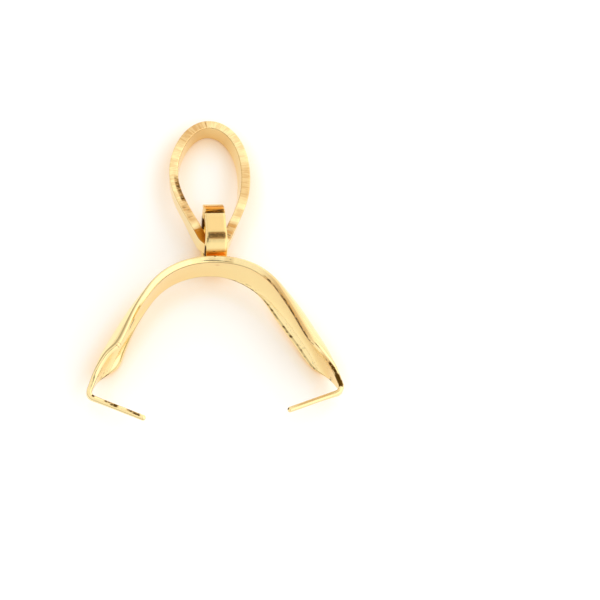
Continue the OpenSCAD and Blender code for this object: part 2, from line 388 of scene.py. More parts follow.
class BandTree:
    """Geometry nodes that sweep a rounded flat band along a path, with shear lines across its edge faces."""

    INPUTS = {
        "Path": ("NodeSocketGeometry", None),
        "Width": (FLOAT, 1.0 * MM),
        "Thickness": (FLOAT, 0.4 * MM),
        "Corner": (FLOAT, 0.07 * MM),
        "Step": (FLOAT, 0.03 * MM),
        "End Size": (FLOAT, 1.0),
        "Closed Ends": ("NodeSocketBool", False),
        "Shear Depth": (FLOAT, 0.005 * MM),
        "Shear Pitch": (FLOAT, 0.1 * MM),
        "Finish": ("NodeSocketMaterial", None),
    }
    CORNER_STEPS = 5
    FACE_CUTS = 9
    SHEAR_STRETCH = 5.0

    def __init__(self) -> None:
        """Builds the tree once."""
        self.graph, self.given, result = new_group(
            "BandAlongPath", "GeometryNodeTree", self.INPUTS, {"Band": "NodeSocketGeometry"}
        )
        path = self.path().outputs
        profile, spot = self.profile()
        sweep = {
            "Curve": path["Geometry"],
            "Profile Curve": profile,
            "Scale": path["Size"],
            "Fill Caps": self.given["Closed Ends"],
        }
        band = self.graph.add("GeometryNodeCurveToMesh", sweep).outputs["Mesh"]
        self.graph.feed(result["Band"], self.finished(band, path["Along"], spot))

    def path(self) -> bpy.types.Node:
        """Turns the path into an even curve.

        Returns:
            The node that captures the length run along the curve, and the band's size near open ends.
        """
        g, given = self.graph, self.given
        curve = g.add("GeometryNodeMeshToCurve", {"Mesh": given["Path"]}).outputs["Curve"]
        even = g.add("GeometryNodeResampleCurve", {"Curve": curve, "Length": given["Step"]}, mode="LENGTH")
        level = g.add("GeometryNodeSetCurveNormal", {"Curve": even.outputs["Curve"]}, mode="Z_UP")
        run = g.add("GeometryNodeSplineParameter").outputs["Length"]
        total = g.add("GeometryNodeSplineLength").outputs["Length"]
        to_end = g.math("MINIMUM", run, g.math("SUBTRACT", total, run))
        size = g.rise(to_end, 0.0, given["Corner"], given["End Size"], 1.0)
        kept = g.add("GeometryNodeCaptureAttribute", {"Geometry": level.outputs["Curve"]}, domain="POINT")
        for label, value in (("Along", run), ("Size", size)):
            kept.capture_items.new("FLOAT", label)
            g.feed(kept.inputs[label], value)
        return kept

    def profile(self) -> tuple[bpy.types.NodeSocket, bpy.types.NodeSocket]:
        """Draws the band's rounded section.

        Returns:
            The section's curve, and each point's spot in it.
        """
        g, given = self.graph, self.given
        box = g.add(
            "GeometryNodeCurvePrimitiveQuadrilateral", {"Width": given["Thickness"], "Height": given["Width"]}
        ).outputs["Curve"]
        round_inputs = {"Curve": box, "Count": self.CORNER_STEPS, "Radius": given["Corner"]}
        rounded = g.add("GeometryNodeFilletCurve", round_inputs, mode="POLY").outputs["Curve"]
        index = g.add("GeometryNodeInputIndex").outputs[0]
        per_corner = float(self.CORNER_STEPS + 1)
        last = g.math("COMPARE", g.math("MODULO", index, per_corner), per_corner - 1.0, 0.1)
        cuts = g.math("MULTIPLY", last, float(self.FACE_CUTS))
        fine = g.add("GeometryNodeSubdivideCurve", {"Curve": rounded, "Cuts": cuts}).outputs["Curve"]
        kept = g.add("GeometryNodeCaptureAttribute", {"Geometry": fine}, domain="POINT")
        kept.capture_items.new("VECTOR", "Spot")
        g.feed(kept.inputs["Spot"], g.add("GeometryNodeInputPosition").outputs[0])
        return kept.outputs["Geometry"], kept.outputs["Spot"]

    def finished(
        self, band: bpy.types.NodeSocket, along: bpy.types.NodeSocket, spot: bpy.types.NodeSocket
    ) -> bpy.types.NodeSocket:
        """Gives the swept band its shear lines, attributes, smooth shading and finish.

        Args:
            band: The swept mesh.
            along: The length run along the path at each point.
            spot: Each point's spot in the section.

        Returns:
            The finished mesh.
        """
        g, given = self.graph, self.given
        depth, down, _ = g.parts(spot)
        across = g.math("MULTIPLY", down, -1.0)
        rim = g.math("SUBTRACT", g.math("MULTIPLY", given["Width"], 0.5), given["Corner"])
        reach = g.math("SUBTRACT", g.math("ABSOLUTE", across), rim)
        edge = g.math("MINIMUM", g.math("MAXIMUM", g.math("DIVIDE", reach, given["Corner"]), 0.0), 1.0)
        pitch = given["Shear Pitch"]
        length = g.math("MULTIPLY", pitch, self.SHEAR_STRETCH)
        lines = g.vector(g.math("DIVIDE", along, pitch), g.math("DIVIDE", depth, length))
        wave = g.math("SUBTRACT", g.noise(lines, 1.0, 1.0), 0.5)
        push = g.product(wave, given["Shear Depth"], edge)
        normal = g.add("GeometryNodeInputNormal").outputs[0]
        offset = g.add("ShaderNodeVectorMath", {0: normal, "Scale": push}, operation="SCALE").outputs[0]
        moved = g.add("GeometryNodeSetPosition", {"Geometry": band, "Offset": offset}).outputs[0]
        to_mm = 1.0 / MM
        place = g.stretched(g.vector(along, across, depth), to_mm, to_mm, to_mm)
        signed = g.math("MULTIPLY", edge, g.math("SIGN", across))
        stored = self.stored(moved, PLACE, "FLOAT_VECTOR", place)
        stored = self.stored(stored, EDGE, "FLOAT", signed)
        even = g.add("GeometryNodeSetShadeSmooth", {0: stored}).outputs[0]
        real = g.add("GeometryNodeRealizeInstances", {0: even}).outputs[0]
        return g.add("GeometryNodeSetMaterial", {"Geometry": real, "Material": given["Finish"]}).outputs[0]

    def stored(
        self, geometry: bpy.types.NodeSocket, name: str, kind: str, value: bpy.types.NodeSocket
    ) -> bpy.types.NodeSocket:
        """Stores a value as a point attribute of the mesh."""
        inputs = {"Geometry": geometry, "Name": name, "Value": value}
        return self.graph.add("GeometryNodeStoreNamedAttribute", inputs, data_type=kind, domain="POINT").outputs[0]

    def sweep(self, name: str, path: Sequence[Sequence[float]], closed: bool, sizes: dict[str, Any]) -> bpy.types.Mesh:
        """Sweeps one band.

        Args:
            name: The mesh's name.
            path: Points of the band's middle line, in millimetres.
            closed: Whether the path runs back to its start.
            sizes: Values for the tree's named inputs.

        Returns:
            A plain mesh with the modifier's result.
        """
        count = len(path)
        edges = [(i, (i + 1) % count) for i in range(count if closed else count - 1)]
        line = bpy.data.meshes.new(name + "_path")
        line.from_pydata([tuple(MM * c for c in p) for p in path], edges, [])
        holder = bpy.data.objects.new(name + "_path", line)
        bpy.context.scene.collection.objects.link(holder)
        modifier = holder.modifiers.new("Band", "NODES")
        modifier.node_group = self.graph.tree
        for item in self.graph.tree.interface.items_tree:
            if item.in_out == "INPUT" and item.name in sizes:
                modifier[item.identifier] = sizes[item.name]
        graph = bpy.context.evaluated_depsgraph_get()
        mesh = bpy.data.meshes.new_from_object(holder.evaluated_get(graph))
        holder.modifiers.remove(modifier)
        bpy.data.objects.remove(holder)
        bpy.data.meshes.remove(line)
        mesh.name = name
        return mesh


@dataclass(frozen=True)
class SectionRow:
    """One row of the arch strip's sections: the share of the way to the bend, and shares of named sizes."""

    along: float
    width: float
    crown: float
    dish_left: float
    dish_right: float
    lean_left: float
    lean_right: float
    gauge: float


SECTIONS = (
    # along, width, crown, dish_left, dish_right, lean_left, lean_right, gauge
    SectionRow(0.00, 0.640, 1.0, 0.00, 0.00, 0.00, 0.00, 1.00),
    SectionRow(0.25, 0.740, 0.8, 0.00, 0.16, -0.30, 0.70, 1.00),
    SectionRow(0.50, 0.880, 0.3, 0.44, 0.81, 0.00, 0.70, 1.00),
    SectionRow(0.68, 0.970, 0.0, 0.90, 1.00, 0.25, 0.10, 1.00),
    SectionRow(0.76, 1.000, 0.0, 1.00, 0.97, 0.65, 0.00, 0.85),
    SectionRow(0.83, 0.800, 0.0, 0.55, 0.67, 1.00, 0.20, 0.55),
    SectionRow(0.92, 0.360, 0.0, 0.09, 0.12, 0.30, 0.00, 0.35),
    SectionRow(1.00, 0.080, 0.0, 0.00, 0.00, 0.00, 0.00, 0.10),
    SectionRow(1.08, 0.000, 0.0, 0.00, 0.00, 0.00, 0.00, 0.00),
    SectionRow(1.20, 0.000, 0.0, 0.00, 0.00, 0.00, 0.00, 0.00),
)


def ahead(x: float, y: float, heading: float, length: float, turn: float) -> tuple[float, float]:
    """Where a line ends that starts at x, y and turns evenly from a heading.

    Args:
        x: The start along X.
        y: The start along Y.
        heading: The start's direction in radians, from +X towards -Y.
        length: The line's length.
        turn: How far it turns over that length, in radians.

    Returns:
        The end's x and y.
    """
    if not turn:
        return x + length * math.cos(heading), y - length * math.sin(heading)
    r = length / turn
    return (
        x + r * (math.sin(heading + turn) - math.sin(heading)),
        y - r * (math.cos(heading) - math.cos(heading + turn)),
    )


def section_value(share: float, column: str) -> float:
    """The smooth value of one column of the sections.

    Args:
        share: The share of the way along a side of the arch.
        column: The name of the column.

    Returns:
        The value there.
    """
    along = [row.along for row in SECTIONS]
    values = [getattr(row, column) for row in SECTIONS]
    last = len(SECTIONS) - 1
    slopes = [0.0, *((values[n + 1] - values[n - 1]) / (along[n + 1] - along[n - 1]) for n in range(1, last)), 0.0]
    i = max(n for n in range(last) if n == 0 or along[n] <= share)
    gap = along[i + 1] - along[i]
    t = min(1.0, (share - along[i]) / gap)
    return (
        values[i] * (2 * t**3 - 3 * t**2 + 1)
        + slopes[i] * gap * (t**3 - 2 * t**2 + t)
        + values[i + 1] * (3 * t**2 - 2 * t**3)
        + slopes[i + 1] * gap * (t**3 - t**2)
    )


@dataclass(frozen=True)
class Station:
    """A place on the strip's middle line, with what sets its section.

    Heading is in radians. Run is the length from the crown's middle, share and lag are shares of the way to the
    bend, and taper narrows the tip.
    """

    x: float
    y: float
    heading: float
    run: float
    share: float
    lag: float
    taper: float


@dataclass(frozen=True)
class LegSizes:
    """The sizes that differ between the two legs.

    The crown's part of the turn, the leg's length, the prong's slope and length, the deepest dish, the most lean,
    and how far the lower edge runs behind the upper one.
    """

    crown_turn: float
    leg: float
    prong_slope: float
    prong: float
    dish: float
    lean: float
    lag: float


@dataclass
class ArchStrip:
    """The leaf-shaped strip that is bent to an arch and ends in two prongs.

    The ring stands off the strip's middle by the ring offset and bites into it. The dish is one round curve where
    its round share is 1, and a flatter middle with curled rims where it is less.
    """

    legs: dict[Leg, LegSizes] = field(
        default_factory=lambda: {
            Leg.LEFT: LegSizes(crown_turn=48.5, leg=6.65, prong_slope=24.5, prong=3.0, dish=0.68, lean=6.5, lag=0.35),
            Leg.RIGHT: LegSizes(crown_turn=52.0, leg=6.2, prong_slope=19.0, prong=2.9, dish=0.68, lean=8.5, lag=0.65),
        }
    )
    sheet: float = 0.4
    widest: float = 2.75
    dish_crown: float = 0.08
    dish_round: float = 0.45
    lean_crown: float = 4.5
    crown_r: float = 4.8
    leg_r: float = 20.5
    bend_r: float = 0.52
    prong_w: float = 0.28
    prong_t: float = 0.28
    ring_offset: float = 0.28
    ring_r: float = 1.63
    bite: float = 0.05
    corner: float = 0.12
    corner_gauge: float = 0.32
    corner_width: float = 0.02
    corner_most: float = 0.42
    step: float = 0.045
    tip_steps: int = 7
    tip_end: float = 0.1
    face_steps: int = 26
    corner_steps: int = 5
    edge_steps: int = 6
    patches: tuple[Patch, ...] = (
        # Solder runs on the crown's upper edge, and its gaps as painted shade
        Patch(Face.UPPER_EDGE, -0.85, 0.0, 0.35, 0.3, tan=0.25),
        Patch(Face.UPPER_EDGE, -0.02, 0.0, 0.2, 0.3, tan=0.15),
        Patch(Face.UPPER_EDGE, 0.95, 0.0, 0.3, 0.3, tan=0.4),
        Patch(Face.UPPER_EDGE, 0.18, 0.14, 0.08, 0.08, dark=0.6),
        Patch(Face.UPPER_EDGE, 1.0, 0.02, 0.12, 0.09, dark=0.4),
        Patch(Face.INSIDE, 0.35, 0.45, 0.14, 0.06, tan=0.8),
        # The right leg's upper edge in painted reflection tones, with a painted dark reflection line inside it, and
        # painted shade on the ribbed area and at the bend
        Patch(Face.UPPER_EDGE, 5.6, 0.08, 2.8, 0.3, tan=0.8),
        Patch(Face.UPPER_EDGE, 3.9, -0.14, 1.0, 0.1, dark=0.6, tan=0.9),
        Patch(Face.UPPER_EDGE, 6.2, -0.1, 2.2, 0.17, dark=0.7, tan=0.9),
        Patch(Face.UPPER_EDGE, 9.2, -0.1, 0.7, 0.2, tan=0.9, dark=0.3),
        Patch(Face.INSIDE, 9.1, 0.75, 0.6, 0.3, tan=0.8, dark=0.3),
        Patch(Face.UPPER_EDGE, 9.85, -0.02, 0.8, 0.12, dark=0.8, tan=0.5),
        Patch(Face.UPPER_EDGE, 10.2, -0.06, 0.45, 0.2, dark=0.9, tan=0.5),
        # The right leg's lower rim, with a dotted painted dark reflection
        Patch(Face.LOWER_RIM, 2.2, -0.9, 1.3, 0.4, dark=0.6),
        Patch(Face.LOWER_RIM, 4.4, -1.0, 0.9, 0.4, dark=0.55),
        Patch(Face.LOWER_RIM, 6.0, -1.1, 0.7, 0.4, dark=0.5),
        Patch(Face.LOWER_RIM, 7.3, -1.2, 0.6, 0.4, dark=0.5),
        Patch(Face.LOWER_RIM, 8.4, -1.1, 0.3, 0.4, dark=0.5),
        Patch(Face.LOWER_RIM, 9.7, -0.6, 0.14, 0.4, dark=1.0),
        # The left leg's crack and creases as painted shade, and its rim as painted dark reflection
        Patch(Face.UPPER_EDGE, -6.5, -0.12, 0.5, 0.06, dark=1.2),
        Patch(Face.UPPER_EDGE, -7.95, 0.0, 0.03, 0.2, tan=0.9, dark=0.3),
        Patch(Face.UPPER_EDGE, -8.12, 0.0, 0.03, 0.2, tan=0.9, dark=0.3),
        Patch(Face.LOWER_RIM, -9.2, -0.9, 0.8, 0.5, dark=0.6),
        # The prongs' marks, and on the right prong a tan line along the edge face that is a painted reflection
        Patch(Face.UPPER_EDGE, -11.05, -0.1, 0.12, 0.12, dark=1.0),
        Patch(Face.UPPER_EDGE, -11.9, -0.07, 0.25, 0.09, dark=0.6, tan=0.6),
        Patch(Face.UPPER_EDGE, -12.3, -0.02, 0.28, 0.11, dark=0.7, tan=0.6),
        Patch(Face.UPPER_EDGE, -13.2, -0.07, 0.25, 0.1, dark=0.6, tan=0.8),
        Patch(Face.UPPER_EDGE, -13.55, -0.03, 0.28, 0.1, dark=0.65, tan=0.6),
        Patch(Face.UPPER_EDGE, 12.2, -0.03, 1.5, 0.06, tan=1.0),
        Patch(Face.UPPER_EDGE, 13.85, -0.05, 0.06, 0.06, dark=1.0),
        Patch(Face.INSIDE, 10.75, 0.1, 0.1, 0.1, dark=0.8),
    )

    def stations(self, leg: Leg) -> list[Station]:
        """The places along one side, from the crown's middle to the prong's tip.

        Args:
            leg: The side of the arch.

        Returns:
            The stations in order.
        """
        sizes = self.legs[leg]
        crown_r, leg_r = self.crown_r - self.sheet / 2, self.leg_r - self.sheet / 2
        bend_r, tip = self.bend_r - self.prong_t / 2, self.prong_w / 2
        crown = math.radians(sizes.crown_turn)
        leg_turn = sizes.leg / leg_r
        bend = math.pi - math.radians(sizes.prong_slope) - crown - leg_turn
        reach = crown_r * crown + sizes.leg
        lag = sizes.lag / reach
        made: list[Station] = []
        x = y = heading = run = 0.0
        stretches = ((crown_r * crown, crown), (sizes.leg, leg_turn), (bend_r * bend, bend), (sizes.prong - tip, 0.0))
        for number, (length, turn) in enumerate(stretches):
            count = max(8, round(length / self.step))
            for share in (i / count for i in range(count)):
                here = run + share * length
                shift = lag * share if number == 0 else lag
                turned = share * turn
                spot = ahead(x, y, heading, share * length, turned)
                made.append(Station(*spot, heading + turned, here, here / reach, shift, 1.0))
            x, y = ahead(x, y, heading, length, turn)
            heading += turn
            run += length
        for i in range(self.tip_steps + 1):
            k = math.sin(math.pi / 2 * i / self.tip_steps)
            taper = max(self.tip_end, math.sqrt(1 - k * k))
            spot = ahead(x, y, heading, k * tip, 0.0)
            made.append(Station(*spot, heading, run + k * tip, (run + tip) / reach, lag, taper))
        return made

    def half_width(self, share: float) -> float:
        """Half the strip's width at a share of the way along."""
        return (self.prong_w + (self.widest - self.prong_w) * section_value(share, "width")) / 2

    def outline(self, lower: float, upper: float, gauge: float) -> np.ndarray:
        """The rounded section at one station.

        Args:
            lower: How far the section reaches down from the middle line.
            upper: How far it reaches up.
            gauge: Its thickness.

        Returns:
            For each point: across, depth, and edge (1 on the upper edge face and -1 on the lower).
        """
        width, half = lower + upper, gauge / 2
        r = min(self.corner, self.corner_gauge * gauge + self.corner_width * width, self.corner_most * width)
        flat = width - 2 * r
        face = [i / self.face_steps for i in range(1, self.face_steps + 1)]
        quarter = [math.pi / 2 * i / self.corner_steps for i in range(1, self.corner_steps + 1)]
        fall = [1 - 2 * i / self.edge_steps for i in range(1, self.edge_steps + 1)]
        halves = []
        for side, near, far in ((1, lower, upper), (-1, upper, lower)):
            points = [(r - near + flat * share, half, 0.0) for share in face]
            points += [(far - r + r * math.sin(a), half - r + r * math.cos(a), math.sin(a)) for a in quarter]
            points += [(far, (half - r) * share, 1.0) for share in fall]
            points += [(far - r + r * math.cos(a), r - half - r * math.sin(a), math.cos(a)) for a in quarter]
            halves.append(side * np.array(points))
        return np.concatenate(halves)

    def ring_points(self, leg: Leg, station: Station) -> tuple[np.ndarray, np.ndarray, np.ndarray]:
        """One section in space.

        Args:
            leg: The side of the arch.
            station: The place on its middle line.

        Returns:
            The points in millimetres about the ring's axis, their places on the strip, and their edge values.
        """
        sizes, side = self.legs[leg], leg.value
        share, taper = station.share, station.taper
        upper = self.half_width(share) * taper
        lower = self.half_width(share - station.lag) * taper
        name, crown = leg.name.lower(), section_value(share, "crown")
        bulge = self.dish_crown * crown + sizes.dish * section_value(share, "dish_" + name)
        turn = math.radians(self.lean_crown * crown + sizes.lean * section_value(share, "lean_" + name))
        gauge = (self.prong_t + (self.sheet - self.prong_t) * section_value(share, "gauge")) * taper
        middle = np.array([side * station.x - self.ring_offset, self.crown_y() + station.y, 0.0])
        level_out = np.array([side * math.sin(station.heading), math.cos(station.heading), 0.0])
        vertical = np.array([0.0, 0.0, 1.0])
        out = level_out * math.cos(turn) - vertical * math.sin(turn)
        up = level_out * math.sin(turn) + vertical * math.cos(turn)
        flat = self.outline(lower, upper, gauge)
        across, depth, edge = flat.T
        half = np.where(across > 0, upper, lower)
        v = across / half
        curl = 1 - self.dish_round
        fall = bulge * (self.dish_round * v**2 + curl * v**6)
        slope = bulge * (2 * self.dish_round * v + 6 * curl * v**5)
        normal = out[None] * half[:, None] + up[None] * slope[:, None]
        normal /= np.linalg.norm(normal, axis=1)[:, None]
        points = middle - out[None] * fall[:, None] + up[None] * across[:, None]
        points = points + normal * depth[:, None]
        place = np.stack([np.full_like(across, side * station.run), across, depth], axis=1)
        return points, place, edge

    def crown_y(self) -> float:
        """The middle line's height at the crown, from the ring's axis."""
        return -self.ring_r + self.bite - self.sheet / 2

    def rings(self) -> tuple[np.ndarray, np.ndarray, np.ndarray]:
        """All sections from the left prong's tip to the right prong's tip.

        Returns:
            The points, their places on the strip and their edge values.
        """
        left = [self.ring_points(Leg.LEFT, s) for s in self.stations(Leg.LEFT)[:0:-1]]
        right = [self.ring_points(Leg.RIGHT, s) for s in self.stations(Leg.RIGHT)]
        points, places, edges = (np.array(column) for column in zip(*(left + right)))
        return points, places, edges


@dataclass
class RingBand:
    """The bent band on the arch's top, with its seam and the end that stands slightly proud there.

    The seam's angle counts up from the loop's side. The lift of the proud end starts and is whole at so many
    degrees from that end. The band is a little spread at its foot, and drawn in behind below a height.
    """

    bore_r: float = 1.23
    thickness: float = 0.4
    width: float = 1.1
    seam: float = 0.035
    seam_angle: float = 62.5
    spread: float = 0.1
    drawn_in: float = 0.15
    end_lift: float = 0.09
    lift_from: float = 82.5
    lift_full: float = 49.5
    widening: float = 1.02
    end_size: float = 0.985
    drawn_below: float = 0.7
    path_step: float = 0.025
    shear_depth: float = 0.002
    corner: float = 0.09
    steps: int = 360
    patches: tuple[Patch, ...] = (
        # Painted reflection tones: the dark horizon mirrored above the seam, duller tones on the top, and over the
        # solder the strip's top mirrored deep orange with a dark band
        Patch(Face.OUTSIDE, 8.8, 0.0, 0.22, 0.9, tan=1.0),
        Patch(Face.OUTSIDE, 9.04, 0.0, 0.15, 0.9, tan=1.0, dark=0.55),
        Patch(Face.INSIDE, 9.04, 0.0, 0.13, 0.9, tan=1.0, dark=0.55),
        Patch(Face.OUTSIDE, 2.25, 0.0, 0.34, 0.9, tan=0.75),
        Patch(Face.OUTSIDE, 2.47, 0.0, 0.07, 0.9, tan=1.0, dark=0.8),
        Patch(Face.OUTSIDE, 0.75, 0.0, 0.75, 0.9, tan=0.2),
        Patch(Face.OUTSIDE, 1.25, 0.05, 0.22, 0.6, tan=0.6, dark=0.3),
        # Painted dark reflection on its left side
        Patch(Face.INSIDE, 6.55, -0.52, 0.5, 0.12, dark=1.4),
        Patch(Face.LOWER_EDGE, 6.55, 0.0, 0.5, 0.4, dark=1.4),
        Patch(Face.LOWER_EDGE, 2.15, 0.0, 0.45, 0.4, dark=1.4),
    )

    def path(self) -> list[tuple[float, float, float]]:
        """The band's middle line in its own plane, from one end at the seam round to the other.

        Returns:
            The line's points. The second end is lifted clear of the first.
        """
        r = self.bore_r + self.thickness / 2
        gap = math.degrees(self.seam / r)
        points = []
        for i in range(self.steps + 1):
            turn = gap / 2 + (360 - gap) * i / self.steps
            a = math.radians(self.seam_angle + turn)
            out = r + self.end_lift * float(1 - smooth(self.lift_full, self.lift_from, 360 - turn))
            points.append((out * math.cos(a), out * math.sin(a), 0.0))
        return points


@dataclass
class SolderRun:
    """The solder that fills the wedge between the ring and the strip, with small lumps at its rim."""

    half_x: float = 0.86
    half_z: float = 0.66
    sections: int = 64
    steps: int = 24
    fade_x: float = 0.13
    fade_power: float = 1.3
    climb: float = 0.05
    film: float = 0.09
    sunk: float = 0.03
    depth: float = 0.1
    big_lump: float = 0.02
    small_lump: float = 0.012

    def rings(self, strip: ArchStrip, ring: RingBand) -> np.ndarray:
        """The solder's sections across the bail.

        Args:
            strip: The strip that it lies on.
            ring: The ring that it holds.

        Returns:
            The points in millimetres about the ring's axis, in the order section, point, coordinate.
        """
        ring_r = ring.bore_r + ring.thickness
        points = []
        for i in range(self.sections + 1):
            x = self.half_x * (2 * i / self.sections - 1)
            past = max(0.0, abs(x) - ring.width / 2)
            fade = math.exp(-((past / self.fade_x) ** self.fade_power)) * (1 - smooth(0.8, 1.0, abs(x) / self.half_x))
            base = strip.crown_y() + strip.sheet / 2 - (x + strip.ring_offset) ** 2 / (2 * strip.crown_r)
            top, under = [], []
            for j in range(self.steps + 1):
                z = self.half_z * (2 * j / self.steps - 1)
                floor = base - strip.dish_crown * (z / strip.half_width(0.0)) ** 2
                gap = -math.sqrt(ring_r**2 - z * z) - floor
                fill = max(0.0, gap * (1 - smooth(0.42, 1.0, abs(z) / self.half_z)) + self.climb)
                lump = self.big_lump * ripple(x * 5, z * 6) + self.small_lump * ripple(x * 13, z * 14)
                top.append((x, floor - self.sunk + (fill + self.film + lump) * fade, z))
                under.append((x, floor - self.depth, z))
            points.append(top + under[::-1])
        return np.array(points)


@dataclass
class ChainLoop:
    """The teardrop of flat strip that hangs in the ring.

    Its upper edge leans out at the sides by the flare and at the top by the top flare, for each millimetre up. Its
    top stands to the right by the skew and its left side bows out. The plate adds to its thickness.
    """

    width: float = 4.24
    reach: float = 7.32
    wide_at: float = 3.85
    strip: float = 0.95
    thickness: float = 0.45
    nose_r: float = 1.0
    leg_lean: float = 22.0
    sway: float = 1.5
    roll: float = 2.0
    flare: float = 0.12
    top_flare: float = 0.05
    skew: float = 0.14
    left_bow: float = 0.11
    plate: float = 0.04
    bore_r: float = 1.23
    clearance: float = 0.11
    from_wide: float = 0.36
    from_nose: float = 0.50
    corner: float = 0.05
    path_step: float = 0.022
    shear_depth: float = 0.012
    shear_pitch: float = 0.08
    steps: int = 90
    patches: tuple[Patch, ...] = (
        # The notch at the top, as painted shade
        Patch(Face.UPPER_EDGE, 9.6, 0.0, 0.05, 0.4, dark=0.35, tan=0.6),
        # Left of the notch, down to the ring: painted reflection tones along the edge, and painted shade inside the
        # top
        Patch(Face.UPPER_EDGE, 10.6, 0.0, 1.3, 0.4, tan=0.42),
        Patch(Face.UPPER_EDGE, 14.9, -0.12, 1.3, 0.17, dark=0.5, tan=0.5),
        Patch(Face.UPPER_EDGE, 16.3, -0.02, 0.9, 0.3, dark=0.28, tan=0.45),
        Patch(Face.UPPER_EDGE, 18.2, 0.0, 0.8, 0.5, dark=0.12, tan=1.1),
        Patch(Face.INSIDE, 9.36, 0.0, 2.2, 0.9, tan=0.22),
        # The right side: painted reflection tones along the edge, and painted shade inside near the ring
        Patch(Face.UPPER_EDGE, 4.75, 0.0, 1.5, 0.4, tan=0.36),
        Patch(Face.UPPER_EDGE, 2.6, 0.05, 0.35, 0.3, tan=0.3),
        Patch(Face.UPPER_EDGE, 1.3, 0.0, 0.7, 0.4, dark=0.3, tan=0.5),
        Patch(Face.INSIDE, 1.6, 0.3, 0.9, 0.2, dark=0.5),
    )

    def nose_depth(self) -> float:
        """How far the nose reaches past the ring's axis."""
        return math.sqrt((self.bore_r - self.clearance) ** 2 - (self.strip / 2) ** 2)

    def leg(self, t: float) -> tuple[float, float]:
        """A point of the right leg's middle line.

        Args:
            t: The share of the way from the widest place to the nose.

        Returns:
            The point's x and y.
        """
        half, r = (self.width - self.thickness) / 2, self.nose_r - self.thickness / 2
        lean = math.radians(self.leg_lean)
        foot = (r * math.cos(lean), self.nose_r - self.nose_depth() - r * math.sin(lean))
        drop = self.wide_at - foot[1]
        corners = (
            (half, self.wide_at),
            (half, self.wide_at - drop * self.from_wide),
            (foot[0] + drop * self.from_nose * math.sin(lean), foot[1] + drop * self.from_nose * math.cos(lean)),
            foot,
        )
        weights = ((1 - t) ** 3, 3 * t * (1 - t) ** 2, 3 * t * t * (1 - t), t**3)
        x, y = (sum(w * c[axis] for w, c in zip(weights, corners)) for axis in (0, 1))
        return x, y

    def path(self) -> list[tuple[float, float, float]]:
        """The strip's middle line in its own plane, from the nose's middle up the right side and round.

        Returns:
            The line's points.
        """
        r, lean = self.nose_r - self.thickness / 2, math.radians(self.leg_lean)
        half, top = (self.width - self.thickness) / 2, self.reach - self.wide_at - self.thickness / 2 + self.plate
        centre = self.nose_r - self.nose_depth()
        n = self.steps
        nose_turn = math.pi / 2 - lean
        nose = [(r * math.sin(nose_turn * i / n), centre - r * math.cos(nose_turn * i / n)) for i in range(n)]
        leg = [self.leg(1 - i / n) for i in range(n)]
        quarter = [math.pi / 2 * i / n for i in range(n)]
        crown = [(half * math.cos(a), self.wide_at + top * math.sin(a)) for a in quarter]
        right = nose + leg + crown
        whole = right + [(0.0, self.wide_at + top)] + [(-x, y) for x, y in reversed(right[1:])]
        return [(x + self.aside(x, y), y, 0.0) for x, y in whole]

    def aside(self, x: float, y: float) -> float:
        """How far the bent loop stands to the right of an even one.

        Args:
            x: A point of the even middle line along X.
            y: The same point along Y.

        Returns:
            The distance there.
        """
        skewed = self.skew * smooth(0.8 * self.wide_at, self.reach, y)
        bowed = smooth(self.nose_r, self.wide_at, y) * (1 - smooth(self.wide_at, self.reach, y))
        return float(skewed - (self.left_bow * bowed if x < 0 else 0.0))

    def flared(self, points: np.ndarray, along: np.ndarray) -> np.ndarray:
        """Points moved so that the strip's upper edge leans out, except at the nose in the ring.

        Args:
            points: Points in millimetres, in the loop's own plane.
            along: The length run along the middle line at each point.

        Returns:
            The moved points.
        """
        path = np.array([(x, y) for x, y, _ in self.path()])
        step = np.roll(path, -1, axis=0) - path
        run = np.concatenate([[0.0], np.cumsum(np.hypot(*step.T))])
        heading = np.unwrap(np.arctan2(step[:, 1], step[:, 0]))
        turn = np.interp(along, (run[:-1] + run[1:]) / 2, heading)
        clear = smooth(self.nose_r, 3 * self.nose_r, np.minimum(along, run[-1] - along))
        lean = clear * points[:, 2]
        aside, ahead = self.flare * np.sin(turn) * lean, -self.top_flare * np.cos(turn) * lean
        return points + np.stack([aside, ahead, np.zeros_like(lean)], axis=1)


def table_tilt(points: np.ndarray, ring_r: float) -> float:
    """How far a body tips about the ring's axis until it comes down to the table.

    Args:
        points: The body's points in millimetres, about the ring's axis.
        ring_r: The height of the axis over the table.

    Returns:
        The turn in radians.
    """
    # Points near the ring can't carry the body, and would divide by almost nothing
    low = points[(np.abs(points[:, 1]) > 2 * ring_r) & (points[:, 2] < 0)]
    far = np.hypot(low[:, 1], low[:, 2])
    return float(np.min(np.arcsin(ring_r / far) - np.arctan2(-low[:, 2], np.abs(low[:, 1]))))


